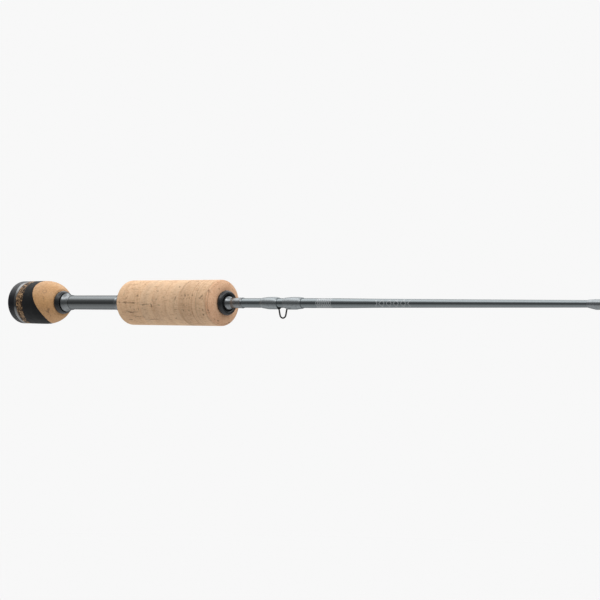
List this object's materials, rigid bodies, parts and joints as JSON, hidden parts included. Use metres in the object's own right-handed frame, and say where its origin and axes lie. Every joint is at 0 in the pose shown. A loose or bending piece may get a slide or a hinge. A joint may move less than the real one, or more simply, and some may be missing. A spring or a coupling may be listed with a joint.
{
  "type": "ice fishing rod",
  "caption": "Short one-piece ice fishing rod with a split cork grip, gunmetal handle tube and tapered blank, wire hook keeper, whipped-on line guides and a tip guide.",
  "frame": {"origin": "centre of the butt cap's flat end face", "axes": "+X along the rod from butt to tip; -Z towards the line guides and the hook keeper; +Y completes the right-handed frame"},
  "size_m": [0.7109, 0.0274, 0.0301],
  "materials": {
    "black_cap": "satin black, finely ribbed rim",
    "polished_trim": "polished dark anodised",
    "burl_cork": "dark speckled burl cork, sealed",
    "black_rubber": "fine matte black foam rubber",
    "cork": "sanded natural cork with pits and growth lines",
    "end_cork": "sanded natural cork, pinkish",
    "thread_wrap": "silver-grey thread under clear epoxy",
    "gunmetal_tube": "satin gunmetal with clear coat",
    "gunmetal_blank": "metallic grey carbon blank, gloss clear coat",
    "graphite": "raw graphite composite",
    "black_wire": "black coated steel wire",
    "guide_frame": "dark polished steel",
    "guide_ceramic": "polished dark ceramic"
  },
  "bodies": {
    "root": {"blank": "gunmetal_blank", "burl_cork_ring": "burl_cork", "butt_cap": "black_cap", "butt_cork": "cork", "butt_trim_ring": "polished_trim", "fore_cork_1": "cork", "fore_cork_2": "cork", "fore_cork_3": "cork", "fore_cork_4": "cork", "fore_cork_5": "cork", "fore_cork_6": "cork", "fore_cork_7": "cork", "fore_cork_end_ring": "end_cork", "fore_trim_wrap": "thread_wrap", "fore_winding_check": "black_rubber", "grip_arbor": "graphite", "grip_inlay": "black_rubber", "guide_2_frame": "guide_frame", "guide_2_rear_wrap": "thread_wrap", "guide_2_ring": "guide_ceramic", "guide_3_frame": "guide_frame", "guide_3_rear_wrap": "thread_wrap", "guide_3_ring": "guide_ceramic", "guide_4_frame": "guide_frame", "guide_4_rear_wrap": "thread_wrap", "guide_4_ring": "guide_ceramic", "handle_tube": "gunmetal_tube", "hook_keeper": "black_wire", "keeper_front_wrap": "thread_wrap", "keeper_rear_wrap": "thread_wrap", "middle_arbor": "graphite", "rear_arbor": "graphite", "rear_trim_cone": "thread_wrap", "rear_winding_check": "black_rubber", "stripper_frame": "guide_frame", "stripper_front_wrap": "thread_wrap", "stripper_rear_wrap": "thread_wrap", "stripper_ring": "guide_ceramic", "tip_top_frame": "guide_frame", "tip_top_ring": "guide_ceramic", "tip_top_wrap": "thread_wrap", "tube_collar": "thread_wrap"}
  },
  "joints": []
}
